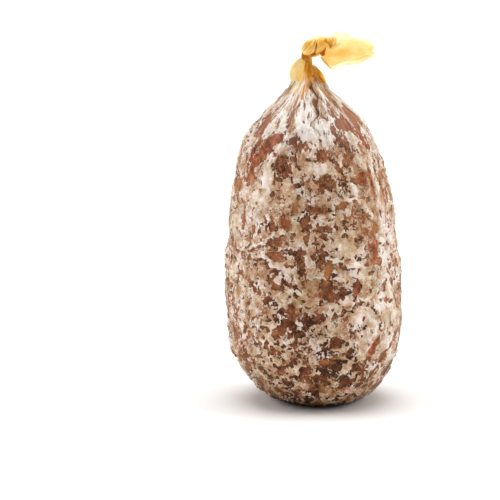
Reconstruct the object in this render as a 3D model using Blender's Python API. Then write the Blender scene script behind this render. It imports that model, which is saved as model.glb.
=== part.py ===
"""A small cured sausage, standing on its rounded end with its casing gathered and knotted on top.

It is one solid: the filled body, its pleated shoulders, the bent neck, the knot and the loose
flattened tail are all the same length of casing. Units are metres and +Z is up. The origin is on
the surface that the sausage stands on, under the middle of its box.
"""

import math

import bmesh
import bpy
from mathutils import Vector, noise

# Driving dimensions.
BELLY_RADIUS = 0.036
SHOULDER_HEIGHT = 0.1335
CASING_UNIT = 0.001

# How finely the skin is divided.
SEGMENTS = 60
BODY_RINGS = 34
NECK_RINGS_PER_SPAN = 2
TAIL_RINGS_PER_SPAN = 2

# Half of the body's outline, from the flat spot that it rests on up to the foot of the neck.
# Each point is a share of the belly's radius and a share of the shoulders' height.
OUTLINE = (
    (0.350, 0.000),
    (0.545, 0.012),
    (0.758, 0.058),
    (0.912, 0.128),
    (0.988, 0.215),
    (1.000, 0.310),
    (0.984, 0.455),
    (0.935, 0.605),
    (0.832, 0.735),
    (0.690, 0.833),
    (0.580, 0.884),
    (0.425, 0.924),
    (0.243, 0.974),
    (0.128, 1.012),
    (0.080, 1.056),
)

# The body leans a little to -X as it rises, and its foot has settled to +X. The places where the
# lean and the foot's shift end are shares of the shoulders' height.
LEAN = 0.0036
LEAN_ENDS = 1.4
FOOT_SHIFT = 0.0016
FOOT_SHIFT_ENDS = 0.25

# The skin dries unevenly: how far it swells or sinks, how wide its swellings are, and the share
# of the shoulders' height above which they are at their full size.
SWELLING = 0.0010
SWELLING_SIZE = 0.021
SWELLING_FULL = 0.15

# Pleats run down from the neck and die out on the shoulders. They are two waves round the body,
# each with its count, its share of the depth and its turn in radians. The depth is a share of the
# radius.
PLEAT_WAVES = (
    (7, 0.6, 1.1),
    (11, 0.4, 0.0),
)
PLEAT_DEPTH = 0.20
PLEATS_BEGIN = 0.80
PLEATS_FULL = 0.985

# Where the skin stands out: the direction that the place faces, in degrees from +X, its height as
# a share of the shoulders' height, how far it stands out, and its half width in degrees and in
# height. The first two are folds of spare casing at the foot of the neck, like ears. The others
# are lumps of the filling.
BULGES = (
    (184.0, 1.032, 0.0046, 24.0, 0.030),
    (-4.0, 0.998, 0.0026, 18.0, 0.026),
    (180.0, 0.790, 0.0013, 48.0, 0.100),
    (0.0, 0.270, 0.0010, 55.0, 0.130),
    (-60.0, 0.440, 0.0012, 40.0, 0.090),
    (95.0, 0.560, 0.0014, 50.0, 0.120),
)

# The middle line of the neck and of the twisted roll that it bends into, in casing units, with
# the roll's radius at each point. NEXT_PLACE is the step along it that gives its direction.
NECK_LINE = (
    ((-3.9, 0.0, 142.6), 2.5),
    ((-4.0, 0.0, 144.6), 2.2),
    ((-3.3, -0.1, 146.4), 2.4),
    ((-1.4, -0.3, 148.2), 2.6),
    ((1.0, -0.3, 149.6), 2.6),
    ((3.4, -0.1, 149.6), 2.2),
    ((4.8, 0.0, 149.2), 2.0),
)
TWIST_LOBES = 3
TWIST_DEPTH = 0.10
TWIST_PER_RING = 0.28
NEXT_PLACE = 0.01

# The tail is a length of empty casing, pressed flat. Each line across it has an upper end and a
# lower end, as (x, y, z) in casing units, and half of the thickness there.
TAIL_LINES = (
    ((6.9, 0.2, 152.0), (2.6, -0.8, 143.4), 1.25),
    ((11.2, 0.6, 153.0), (6.7, -1.9, 138.0), 0.95),
    ((15.2, 0.9, 152.0), (12.8, -1.8, 139.8), 0.75),
    ((19.4, 0.6, 150.4), (17.9, -0.9, 140.6), 0.65),
    ((22.7, 0.1, 148.2), (21.9, -0.2, 142.8), 0.55),
    ((24.4, -0.3, 146.4), (24.2, -0.3, 144.4), 0.40),
)

# The turn of casing that closes the knot, wrapped round the roll just before the tail.
WRAP_CENTRE = (5.2, -0.1, 148.8)
WRAP_AXIS = (0.94, 0.05, -0.34)
WRAP_RADIUS = 2.15
WRAP_THICKNESS = 1.25
WRAP_TURNS = 20
WRAP_SIDES = 10
WRAP_LUMPS = 0.12
WRAP_LUMP_SIZE = 0.002

CASING_COLOUR = (0.60, 0.47, 0.38, 1.0)
CASING_ROUGHNESS = 0.75
SHARP_ANGLE = 50.0


def clear_scene():
    for existing in list(bpy.data.objects):
        bpy.data.objects.remove(existing)


def smooth_step(low, high, value):
    """0 below low, 1 above high, and an even curve between them."""
    share = min(1.0, max(0.0, (value - low) / (high - low)))
    return share * share * (3.0 - 2.0 * share)


def along(points, place):
    """The point at place, from 0 to 1, on a smooth curve through points of equal spacing."""
    last = len(points) - 1
    scaled = min(place * last, last - 1e-9)
    start = int(scaled)
    part = scaled - start
    before = points[max(start - 1, 0)]
    first = points[start]
    second = points[start + 1]
    after = points[min(start + 2, last)]
    return 0.5 * (
        2.0 * first
        + (second - before) * part
        + (2.0 * before - 5.0 * first + 4.0 * second - after) * part**2
        + (3.0 * first - before - 3.0 * second + after) * part**3
    )


def swelling(direction, height):
    """How far the drying skin stands in or out of its even outline."""
    place = Vector((math.cos(direction), math.sin(direction), 0.0)) * BELLY_RADIUS
    place.z = height
    uneven = noise.noise(place / SWELLING_SIZE)
    fades = smooth_step(0.0, SWELLING_FULL * SHOULDER_HEIGHT, height)
    return SWELLING * uneven * fades


def pleats(direction, level):
    """The pleats' share of the radius, which grows towards the neck."""
    strength = PLEAT_DEPTH * smooth_step(PLEATS_BEGIN, PLEATS_FULL, level)
    wave = sum(part * math.cos(count * direction + turn) for count, part, turn in PLEAT_WAVES)
    return strength * wave


def bulges(direction, level):
    """How far the folds and lumps stand out."""
    total = 0.0
    for facing, at_level, reach, half_width, half_height in BULGES:
        turn = math.degrees(direction) - facing
        turn = (turn + 180.0) % 360.0 - 180.0
        across = (turn / half_width) ** 2
        upright = ((level - at_level) / half_height) ** 2
        total += reach * math.exp(-across - upright)
    return total


def body_ring(place):
    """One level ring of the body's skin."""
    outline = [Vector((radius, level, 0.0)) for radius, level in OUTLINE]
    share, level, _ = along(outline, place)
    height = max(level, 0.0) * SHOULDER_HEIGHT
    settled = FOOT_SHIFT * (1.0 - smooth_step(0.0, FOOT_SHIFT_ENDS, level))
    centre = Vector((settled - LEAN * smooth_step(0.0, LEAN_ENDS, level), 0.0, height))
    ring = []
    for step in range(SEGMENTS):
        direction = math.tau * step / SEGMENTS
        radius = share * BELLY_RADIUS * (1.0 + pleats(direction, level))
        radius += swelling(direction, height) + bulges(direction, level)
        ring.append(centre + radius * Vector((math.cos(direction), math.sin(direction), 0.0)))
    return ring


def neck_ring(place, number):
    """One ring of the bent neck and of the twisted roll, square to its middle line."""
    line = [Vector(point) * CASING_UNIT for point, _ in NECK_LINE]
    radii = [Vector((radius * CASING_UNIT, 0.0, 0.0)) for _, radius in NECK_LINE]
    centre = along(line, place)
    before = along(line, max(place - NEXT_PLACE, 0.0))
    ahead = along(line, min(place + NEXT_PLACE, 1.0)) - before
    side = Vector((0.0, 1.0, 0.0))
    outer = side.cross(ahead).normalized()
    ring = []
    for step in range(SEGMENTS):
        direction = math.tau * step / SEGMENTS
        twisted = TWIST_LOBES * (direction - TWIST_PER_RING * number)
        radius = along(radii, place).x * (1.0 + TWIST_DEPTH * math.cos(twisted))
        ring.append(centre + radius * (math.cos(direction) * outer + math.sin(direction) * side))
    return ring


def tail_ring(place):
    """One thin closed ring of the flattened tail, from its upper edge round its lower edge."""
    upper = along([Vector(top) * CASING_UNIT for top, _, _ in TAIL_LINES], place)
    lower = along([Vector(bottom) * CASING_UNIT for _, bottom, _ in TAIL_LINES], place)
    half = along([Vector((t * CASING_UNIT, 0.0, 0.0)) for _, _, t in TAIL_LINES], place).x
    centre = (upper + lower) / 2.0
    reach = (upper - lower) / 2.0
    side = Vector((0.0, 1.0, 0.0))
    ring = []
    for step in range(SEGMENTS):
        direction = math.tau * step / SEGMENTS
        # A turn of 180 degrees starts the ring on its lower edge, as the roll's rings start.
        ring.append(centre - math.cos(direction) * reach + math.sin(direction) * half * side)
    return ring


def skin_rings():
    """All rings from the flat spot, up the body, over the bent neck and along the tail."""
    rings = [body_ring(number / (BODY_RINGS - 1)) for number in range(BODY_RINGS)]
    neck_count = NECK_RINGS_PER_SPAN * (len(NECK_LINE) - 1)
    rings += [neck_ring(number / neck_count, number) for number in range(neck_count + 1)]
    tail_count = TAIL_RINGS_PER_SPAN * (len(TAIL_LINES) - 1)
    rings += [tail_ring(number / tail_count) for number in range(tail_count + 1)]
    return rings


def close_with(mesh, rim, upwards):
    """Fills a rim of points with one face that points up or down."""
    face = mesh.faces.new(rim if upwards else rim[::-1])
    face.normal_update()
    return face


def lofted(name, rings):
    """A closed mesh through the rings, capped at both ends."""
    mesh = bmesh.new()
    made = [[mesh.verts.new(point) for point in ring] for ring in rings]
    for lower, upper in zip(made, made[1:]):
        count = len(lower)
        for step in range(count):
            ahead = (step + 1) % count
            mesh.faces.new((lower[step], lower[ahead], upper[ahead], upper[step]))
    close_with(mesh, made[0], upwards=False)
    close_with(mesh, made[-1], upwards=True)
    bmesh.ops.recalc_face_normals(mesh, faces=mesh.faces)
    data = bpy.data.meshes.new(name)
    mesh.to_mesh(data)
    mesh.free()
    made_object = bpy.data.objects.new(name, data)
    bpy.context.scene.collection.objects.link(made_object)
    return made_object


def knot_wrap():
    """The turn of casing round the roll, as a lumpy ring that the sausage is joined to."""
    bpy.ops.mesh.primitive_torus_add(
        major_radius=WRAP_RADIUS * CASING_UNIT,
        minor_radius=WRAP_THICKNESS * CASING_UNIT,
        major_segments=WRAP_TURNS,
        minor_segments=WRAP_SIDES,
    )
    wrap = bpy.context.object
    wrap.name = "knot_wrap"
    for point in wrap.data.vertices:
        point.co *= 1.0 + WRAP_LUMPS * noise.noise(point.co / WRAP_LUMP_SIZE)
    turned = Vector(WRAP_AXIS).to_track_quat("Z", "Y").to_matrix().to_4x4()
    wrap.data.transform(turned)
    wrap.location = Vector(WRAP_CENTRE) * CASING_UNIT
    wrap.hide_render = True
    wrap.display_type = "WIRE"
    return wrap


def join(target, other):
    union = target.modifiers.new("knot", "BOOLEAN")
    union.operation = "UNION"
    union.object = other


def stand_over_origin(sausage, helper):
    """Moves the sausage so that the middle of its box is over the origin."""
    low = Vector(map(min, zip(*(point.co for point in sausage.data.vertices))))
    high = Vector(map(max, zip(*(point.co for point in sausage.data.vertices))))
    middle = (low + high) / 2.0
    shift = Vector((-middle.x, -middle.y, -low.z))
    for point in sausage.data.vertices:
        point.co += shift
    helper.location += shift


def casing_material():
    material = bpy.data.materials.new("mould_dusted_casing")
    material.use_nodes = True
    surface = material.node_tree.nodes["Principled BSDF"]
    surface.inputs["Base Color"].default_value = CASING_COLOUR
    surface.inputs["Roughness"].default_value = CASING_ROUGHNESS
    surface.inputs["Metallic"].default_value = 0.0
    return material


def shade(sausage):
    sausage.data.shade_smooth()
    sausage.data.set_sharp_from_angle(angle=math.radians(SHARP_ANGLE))


def main():
    clear_scene()
    sausage = lofted("sausage", skin_rings())
    wrap = knot_wrap()
    stand_over_origin(sausage, wrap)
    join(sausage, wrap)
    sausage.data.materials.append(casing_material())
    shade(sausage)


main()
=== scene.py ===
import math

import bpy
import numpy as np
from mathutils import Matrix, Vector
from mathutils.bvhtree import BVHTree


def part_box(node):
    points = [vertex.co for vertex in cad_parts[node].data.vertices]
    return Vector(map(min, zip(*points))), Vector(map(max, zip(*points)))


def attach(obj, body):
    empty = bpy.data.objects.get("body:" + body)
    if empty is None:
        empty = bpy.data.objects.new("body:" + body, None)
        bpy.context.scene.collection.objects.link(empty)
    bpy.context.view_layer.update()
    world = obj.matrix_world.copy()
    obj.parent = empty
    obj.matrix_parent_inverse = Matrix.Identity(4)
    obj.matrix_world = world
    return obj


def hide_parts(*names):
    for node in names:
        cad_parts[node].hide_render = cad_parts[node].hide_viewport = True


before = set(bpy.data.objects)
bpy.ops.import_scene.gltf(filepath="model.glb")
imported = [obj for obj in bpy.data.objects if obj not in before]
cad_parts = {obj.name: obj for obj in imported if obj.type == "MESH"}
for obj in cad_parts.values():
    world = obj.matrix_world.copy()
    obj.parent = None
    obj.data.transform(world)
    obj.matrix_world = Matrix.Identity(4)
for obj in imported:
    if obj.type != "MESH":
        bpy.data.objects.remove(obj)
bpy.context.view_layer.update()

# ---------------------------------------------------------------------------------------------
# The stand: a wide white table under soft studio light, and a long lens that looks slightly down
# at the sausage, which stands right of the middle of the view.
# ---------------------------------------------------------------------------------------------
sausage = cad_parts["sausage"]
low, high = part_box("sausage")
tall = high.z - low.z

LOOKING_DOWN = math.radians(10.0)
CAMERA_AWAY = 0.9
VIEW_WIDTH = 0.2069
SENSOR = 36.0
LOOKED_AT_X = -0.0264
LOOKED_AT_HEIGHT = 0.4105  # of the sausage's own height
looked_at = Vector((LOOKED_AT_X, 0.0, LOOKED_AT_HEIGHT * tall))
backwards = Vector((0.0, -math.cos(LOOKING_DOWN), math.sin(LOOKING_DOWN)))
lens = bpy.data.cameras.new("camera")
lens.sensor_width = SENSOR
lens.lens = SENSOR * CAMERA_AWAY / VIEW_WIDTH
camera = bpy.data.objects.new("camera", lens)
camera.location = looked_at + backwards * CAMERA_AWAY
camera.rotation_euler = backwards.to_track_quat("Z", "Y").to_euler()
bpy.context.scene.collection.objects.link(camera)
bpy.context.scene.camera = camera
bpy.context.scene.view_settings.view_transform = "Standard"


def deselect_all():
    bpy.ops.object.select_all(action="DESELECT")


def add(tree, kind, inputs, **settings):
    """A new node with its settings, and with each input set to a value or linked to a socket."""
    node = tree.nodes.new(kind)
    for name, value in settings.items():
        setattr(node, name, value)
    for name, value in inputs.items():
        if isinstance(value, bpy.types.NodeSocket):
            tree.links.new(value, node.inputs[name])
        else:
            node.inputs[name].default_value = value
    return node


def feed(surface, name, socket):
    """Links a socket to one of the surface's inputs."""
    socket.id_data.links.new(socket, surface.inputs[name])


def new_material(name):
    material = bpy.data.materials.new(name)
    material.use_nodes = True
    return material, material.node_tree, material.node_tree.nodes["Principled BSDF"]


def calc(operation, first, second=0.0, third=0.0, clamp=False):
    """Maths on a socket, in the tree that the socket belongs to."""
    inputs = {0: first, 1: second, 2: third}
    return add(first.id_data, "ShaderNodeMath", inputs, operation=operation, use_clamp=clamp).outputs[0]


def ramp(value, start, end, low_end=0.0, high_end=1.0, curve="SMOOTHSTEP"):
    """Goes from low_end to high_end while the value goes from start to end."""
    inputs = {"Value": value, "From Min": start, "From Max": end, "To Min": low_end, "To Max": high_end}
    return add(value.id_data, "ShaderNodeMapRange", inputs, interpolation_type=curve).outputs[0]


TABLE_SIZE = 30.0
deselect_all()
bpy.ops.mesh.primitive_plane_add(size=TABLE_SIZE, location=(0.0, 0.0, low.z))
table = bpy.context.object
table.name = "table"
white, tree, surface = new_material("white_table")
grain = add(tree, "ShaderNodeTexNoise", {"Scale": 60.0, "Detail": 3.0}).outputs["Fac"]
feed(surface, "Base Color", ramp(grain, 0.0, 1.0, 0.91, 0.95, "LINEAR"))
surface.inputs["Roughness"].default_value = 0.6
table.data.materials.append(white)

# name, direction that the light comes from, strength, how wide it looks in degrees
LIGHTS = (
    ("top_light", (0.0, 0.10, 1.0), 2.9, 56.0),
    ("left_light", (-1.0, 0.04, 0.60), 1.4, 40.0),
    ("right_light", (1.0, 0.04, 0.60), 1.5, 40.0),
)
for name, direction, strength, wide in LIGHTS:
    lamp = bpy.data.lights.new(name, "SUN")
    lamp.energy = strength
    lamp.angle = math.radians(wide)
    light = bpy.data.objects.new(name, lamp)
    light.rotation_euler = Vector(direction).to_track_quat("Z", "Y").to_euler()
    bpy.context.scene.collection.objects.link(light)

# The studio's walls are white near the floor, and dim above and behind the camera.
WALL_COLOUR = (1.0, 0.95, 0.88, 1.0)
world = bpy.data.worlds.new("studio")
world.use_nodes = True
bpy.context.scene.world = world
background = world.node_tree.nodes["Background"]
towards = add(world.node_tree, "ShaderNodeTexCoord", {}).outputs["Generated"]
parts = add(world.node_tree, "ShaderNodeSeparateXYZ", {0: towards}).outputs
near_floor = ramp(parts["Z"], 0.10, 0.35, 1.0, 0.14, "LINEAR")
in_front = ramp(parts["Y"], -0.85, -0.1, 0.25, 1.0, "LINEAR")
feed(background, "Strength", calc("MULTIPLY", near_floor, in_front))
background.inputs["Color"].default_value = WALL_COLOUR

# ---------------------------------------------------------------------------------------------
# The filled body: minced pork stuffed into a gut casing, which shrinks on to it as it dries. The
# casing is gathered into pleats under the knot, and a white mould film grows over it. Where the
# film has rubbed off, the reddish brown casing shows.
# ---------------------------------------------------------------------------------------------
MM = 0.001
AROUND = 352  # points round the body
ALONG = 280  # rings up the body
BODY_TOP = 0.1440  # inside the twisted neck
BELLY = 0.036
SPINE_FOOT = 0.036


def smooth_step(lowest, highest, value):
    share = np.clip((value - lowest) / (highest - lowest), 0.0, 1.0)
    return share * share * (3.0 - 2.0 * share)


def bell(away, half):
    """1 in the middle, falling off evenly to both sides."""
    return np.exp(-((away / half) ** 2))


def mixed(first, second, share):
    return first + (second - first) * share


def lattice_dots(corner, offset):
    """The dot products of an offset with the random slopes at whole-number corners."""
    seed = corner.astype(np.int64) @ np.array((73856093, 19349663, 83492791))
    total = 0.0
    for axis in range(3):
        seed = (seed * 1103515245 + 12345) % 2147483648
        total = total + ((seed >> 8) % 2001 / 1000.0 - 1.0) * offset[:, axis]
    return total


def noise(places):
    """Even noise from about -0.6 to 0.6 at each place, with bumps about one unit wide."""
    whole = np.floor(places)
    part = places - whole
    ease = part * part * part * (part * (part * 6.0 - 15.0) + 10.0)
    layers = []
    for z in (0, 1):
        rows = []
        for y in (0, 1):
            ends = [lattice_dots(whole + (x, y, z), part - (x, y, z)) for x in (0, 1)]
            rows.append(mixed(ends[0], ends[1], ease[:, 0]))
        layers.append(mixed(rows[0], rows[1], ease[:, 1]))
    return mixed(layers[0], layers[1], ease[:, 2])


def clouds(places, size, octaves=4, rough=0.5):
    """Noise in several sizes, the widest of them size across."""
    total = np.zeros(len(places))
    for octave in range(octaves):
        total += rough**octave * noise(places * (2.0**octave / size) + 17.3 * octave)
    return total


def select_only(piece):
    deselect_all()
    piece.select_set(True)
    bpy.context.view_layer.objects.active = piece


# A copy of the CAD solid with its facets welded and rounded off. The body's skin is laid on it.
guide = sausage.copy()
guide.data = sausage.data.copy()
guide.name = "guide"
guide.parent = None
bpy.context.scene.collection.objects.link(guide)
select_only(guide)
bpy.ops.object.mode_set(mode="EDIT")
bpy.ops.mesh.select_all(action="SELECT")
bpy.ops.mesh.remove_doubles(threshold=1e-6)
bpy.ops.mesh.tris_convert_to_quads(face_threshold=0.7, shape_threshold=0.7)
bpy.ops.object.mode_set(mode="OBJECT")
rounding = guide.modifiers.new("rounding", "SUBSURF")
rounding.levels = 2
rounding.render_levels = 2
bpy.ops.object.modifier_apply(modifier="rounding")
guide_surface = BVHTree.FromPolygons(
    [point.co for point in guide.data.vertices], [face.vertices for face in guide.data.polygons]
)


def out_to_skin(start, direction):
    """The place where a ray from inside the body meets its skin."""
    hit = guide_surface.ray_cast(start, direction)[0]
    return hit if hit is not None else start + direction * MM


# The middle line of the body, which the rays start from. Below SPINE_FOOT they fan out from its
# foot, so that the round end is reached too.
SPINE_HEIGHTS = np.linspace(SPINE_FOOT, BODY_TOP, 40)
spine = []
middle = Vector((0.0, 0.0, 0.0))
for height in SPINE_HEIGHTS:
    middle.z = height
    walls = [
        out_to_skin(middle, Vector((math.cos(turn), math.sin(turn), 0.0)))
        for turn in np.linspace(0.0, math.tau, 12, endpoint=False)
    ]
    middle = sum(walls, Vector()) / len(walls)
    spine.append((middle.x, middle.y))
spine = np.array(spine)
FAN = math.pi / 2.0
FAN_SHARE = SPINE_FOOT / BODY_TOP * 1.3  # of the way up, where the rays fan out


def way_out(place):
    """The ray's start and its slope for a place from 0, the foot, to 1, the top of the neck."""
    if place < FAN_SHARE:
        return SPINE_FOOT, -FAN * (1.0 - place / FAN_SHARE)
    return SPINE_FOOT + (BODY_TOP - SPINE_FOOT) * (place - FAN_SHARE) / (1.0 - FAN_SHARE), 0.0


def spine_point(height):
    x = np.interp(height, SPINE_HEIGHTS, spine[:, 0])
    y = np.interp(height, SPINE_HEIGHTS, spine[:, 1])
    return Vector((x, y, height))


def skin_at(place, turn):
    height, slope = way_out(place)
    out = Vector((math.cos(turn) * math.cos(slope), math.sin(turn) * math.cos(slope), math.sin(slope)))
    return out_to_skin(spine_point(height), out)


# The places of the rings, evenly spaced along the skin and twice as close at the pleated neck.
PLEATED_FROM, PLEATED_TO = 0.118, 0.134
TRIAL_TURNS = (0.5, 2.1, 3.6, 5.2)
trial = np.linspace(0.0, 1.0, 300)
trial_rings = [[skin_at(place, turn) for turn in TRIAL_TURNS] for place in trial]
heights = [(sum(ring, Vector()) / len(ring)).z for ring in trial_rings]
radii = [np.mean([point.xy.length for point in ring]) for ring in trial_rings]
steps = [
    math.hypot(z1 - z0, r1 - r0) * (1.0 + smooth_step(PLEATED_FROM, PLEATED_TO, z0))
    for z0, z1, r0, r1 in zip(heights, heights[1:], radii, radii[1:])
]
travelled = np.concatenate(([0.0], np.cumsum(steps)))
travelled /= travelled[-1]


def name_piece(name):
    """Names the piece just made, with its mesh and its UV map."""
    piece = bpy.context.object
    piece.name = name
    piece.data.name = name
    piece.data.uv_layers[0].name = "OFBake"
    return piece


deselect_all()
bpy.ops.mesh.primitive_uv_sphere_add(segments=AROUND, ring_count=ALONG, radius=1.0)
body = name_piece("filled_body")

ring_rays = []
for number in range(ALONG + 1):
    height, slope = way_out(float(np.interp(number / ALONG, travelled, trial)))
    ring_rays.append((spine_point(height), math.cos(slope), math.sin(slope)))
for point in body.data.vertices:
    number = round(math.acos(max(-1.0, min(1.0, -point.co.z))) / math.pi * ALONG)
    start, level, rise = ring_rays[number]
    sideways = point.co.xy.normalized() * level
    point.co = out_to_skin(start, Vector((sideways.x, sideways.y, rise)))


def points_of(mesh, kept_as="co"):
    """The place of each point of a mesh, or its normal."""
    values = np.empty(len(mesh.vertices) * 3)
    mesh.vertices.foreach_get(kept_as, values)
    return values.reshape(-1, 3)


def put(mesh, places):
    mesh.vertices.foreach_set("co", places.ravel())
    mesh.update()


def from_spine(places):
    """How far each place is to the right of the body's middle line, and behind it."""
    right = places[:, 0] - np.interp(places[:, 2], SPINE_HEIGHTS, spine[:, 0])
    behind = places[:, 1] - np.interp(places[:, 2], SPINE_HEIGHTS, spine[:, 1])
    return right, behind


spots = points_of(body.data)
count = len(spots)

# The twist draws the neck in to a thin stem: height, middle, radius, in millimetres.
STEM = ((135.0, -3.0, 5.0), (138.0, -3.1, 2.5), (140.5, -3.2, 2.0), (144.0, -3.4, 1.9))
stem_heights, stem_middles, stem_radii = np.array(STEM).T
height = spots[:, 2] / MM
stem_turn = np.arctan2(*from_spine(spots))
stem_radius = np.interp(height, stem_heights, stem_radii) * MM
stem_middle = np.interp(height, stem_heights, stem_middles) * MM
stem_share = smooth_step(135.0, 139.5, height)
spots[:, 0] = mixed(spots[:, 0], stem_middle + stem_radius * np.sin(stem_turn), stem_share)
spots[:, 1] = mixed(spots[:, 1], stem_radius * np.cos(stem_turn), stem_share)
# The right shoulder runs straight up to the stem.
SHOULDER_DRAWN_IN = 2.6
shoulder_share = smooth_step(124.5, 131.0, height) * smooth_step(138.0, 133.5, height)
spots[:, 0] -= SHOULDER_DRAWN_IN * MM * shoulder_share * np.clip(np.sin(stem_turn), 0.0, 1.0)

# Where each point is, seen from the middle line: the way that it faces in degrees, from the
# front (-Y) towards +X, and its height in millimetres.
across_x, across_y = from_spine(spots)
facing = np.degrees(np.arctan2(across_x, -across_y))
reach = np.hypot(across_x, across_y) / MM
at_side = smooth_step(25.0, 50.0, np.abs(facing))
# The pattern's own coordinates gather with the skin towards the neck, and run slower along it
# there, so that marks come out long and narrow. They gather less at the sides low down.
DRAWN_OUT_FROM = 98.0
DRAWN_OUT_BY = 0.0045
widened = 0.8 * at_side * smooth_step(2.0, 16.0, height)
width_here = np.where(height > SPINE_FOOT / MM, BELLY / MM, mixed(reach, BELLY / MM, widened))
drawn_out = np.maximum(height - DRAWN_OUT_FROM, 0.0)
pattern_place = np.stack(
    (
        width_here * np.sin(np.radians(facing)),
        -width_here * np.cos(np.radians(facing)),
        np.minimum(height, DRAWN_OUT_FROM) + drawn_out - DRAWN_OUT_BY * drawn_out**2,
    ),
    axis=1,
)


def turned_from(degrees):
    """How far round each point is from a direction, in millimetres along the skin."""
    turn = (facing - degrees + 180.0) % 360.0 - 180.0
    return np.radians(turn) * np.maximum(reach, 1.0)


# Pleats: sharp creases that start under the knot and run down the shoulders.
# direction, lowest height, depth, half width
PLEATS = 22
rng = np.random.default_rng(12)
pleat_rows = []
for number in range(PLEATS):
    direction = 360.0 * (number + 0.8 * rng.random()) / PLEATS
    lowest = 108.0 + 20.0 * rng.random() ** 0.7
    depth = 0.35 + 0.4 * rng.random()
    pleat_rows.append((direction, lowest, depth, 0.45 + 0.5 * rng.random()))
pleat_rows += [(7.0, 104.0, 1.6, 0.34), (14.0, 120.0, 0.6, 0.35)]
relief = np.zeros(count)
# The creases are kept for the material, which paints the film in them darker and greener: painted shade in
# the creases.
thin_film_and_crease_shade = np.zeros(count)
for direction, lowest, depth, half in pleat_rows:
    wander = 0.06 * np.sin(height / 2.3 + direction) + 0.05 * np.sin(height / 1.1 + 2.0 * direction)
    away = (turned_from(direction) + wander * reach) / (half * smooth_step(0.0, 9.0, reach) + 0.12)
    strength = smooth_step(lowest, lowest + 14.0, height) * (1.0 - 0.55 * smooth_step(134.0, 141.0, height))
    relief -= depth * strength * np.exp(-np.abs(away) ** 1.5)
    thin_film_and_crease_shade = np.maximum(thin_film_and_crease_shade, depth * strength * np.exp(-((1.4 * away) ** 2)))

# Folds in the skin, each a line of (direction, height) with how far it stands up and its width.
FOLDS = (
    (((-60, 66.5), (-51, 66.5), (-45, 64), (-37, 65.5), (-29, 62), (-25, 61)), 0.9, 1.6),
    (((3, 61.5), (8, 65), (15, 64.5), (20, 62), (28, 62.5)), 0.6, 1.2),
    (((-52, 66), (-34, 71), (-20, 76)), 0.6, 1.4),
    (((13, 82), (16, 86.4), (21, 88), (27, 88.3), (33, 87), (38, 83.6), (42, 80.5)), 0.7, 1.2),
    (((20, 44.5), (27, 47.5), (35, 47.5), (43, 43.5), (49, 34)), 0.5, 0.9),
    (((-45, 112), (-51, 106), (-57, 99)), 0.7, 1.5),
    (((9, 99.5), (16, 97), (19, 91.5)), 0.4, 1),
)


def fold_distance(line):
    """The distance of each point from a line of (direction, height), positive above the line."""
    nearest = np.full(count, 1e3)
    side = np.ones(count)
    for (turn_a, height_a), (turn_b, height_b) in zip(line, line[1:]):
        first = np.stack((-turned_from(turn_a), height_a - height), axis=1)
        second = np.stack((-turned_from(turn_b), height_b - height), axis=1)
        along = second - first
        share = np.clip(-(first * along).sum(1) / (along * along).sum(1), 0.0, 1.0)
        gap = first + along * share[:, None]
        length = np.hypot(gap[:, 0], gap[:, 1])
        closer = length < nearest
        nearest = np.where(closer, length, nearest)
        side = np.where(closer, np.sign(along[:, 1] * gap[:, 0] - along[:, 0] * gap[:, 1]), side)
    return nearest * side


# A fold ends in a torn lip, with a gap under it. lip_distance is the distance to the nearest lip.
FAR_FROM_LIPS = 9.0
lip_distance = np.full(count, FAR_FROM_LIPS)
for line, stands_up, half in FOLDS:
    away = fold_distance(line)
    ragged_away = away + 1.6 * clouds(pattern_place, 4.5, 3)
    above = bell(np.maximum(ragged_away, 0.0), half)
    below = bell(np.minimum(ragged_away, 0.0), 0.5)
    relief += stands_up * above * below
    relief -= 0.35 * stands_up * bell(ragged_away + 1.3, 0.9)
    lip_distance = np.where(np.abs(away) < np.abs(lip_distance), away, lip_distance)

# Long soft ridges, where the film is thickest, in the same way: a line, its height and its width.
RIDGES = (
    (((45, 113), (42, 107), (42, 102), (44, 97), (44, 92), (46, 86)), 0.7, 0.8),
    (((56, 101), (55, 94.5), (54, 88), (55, 81.5), (58, 74), (62, 68)), 0.6, 0.7),
    (((-35, 103.5), (-38, 99.5), (-38, 95.5), (-35, 91), (-38, 86.5), (-43, 81)), 0.5, 1),
    (((-58, 90), (-55, 84.5), (-51, 79), (-53, 74)), 0.4, 0.6),
)
ridged = np.zeros(count)
for line, stands_up, half in RIDGES:
    half_here = half * np.clip(0.9 + 1.4 * clouds(pattern_place + 70.0, 6.0, 2), 0.3, 1.6)
    away = np.abs(fold_distance(line) + 1.1 * clouds(pattern_place, 4.0, 4, 0.6)) / half_here
    relief += stands_up * bell(away, 1.0)
    ridged = np.maximum(ridged, bell(away, 1.25))

# The drying filling shows through as shallow dents, lumps and thin crumpled lines.
relief += 0.9 * clouds(pattern_place, 13.0, 2) + 0.35 * clouds(pattern_place, 4.2, 3)
crumpled = bell(clouds(pattern_place * (1.0, 1.0, 0.55), 9.0, 3), 0.045)
crumpled *= smooth_step(-0.2, 0.2, clouds(pattern_place + 40.0, 16.0, 2))
relief += 0.8 * crumpled
relief = (relief - 0.4) * smooth_step(0.0, 6.0, height)
put(body.data, spots + (relief * MM)[:, None] * points_of(body.data, "normal"))

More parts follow.
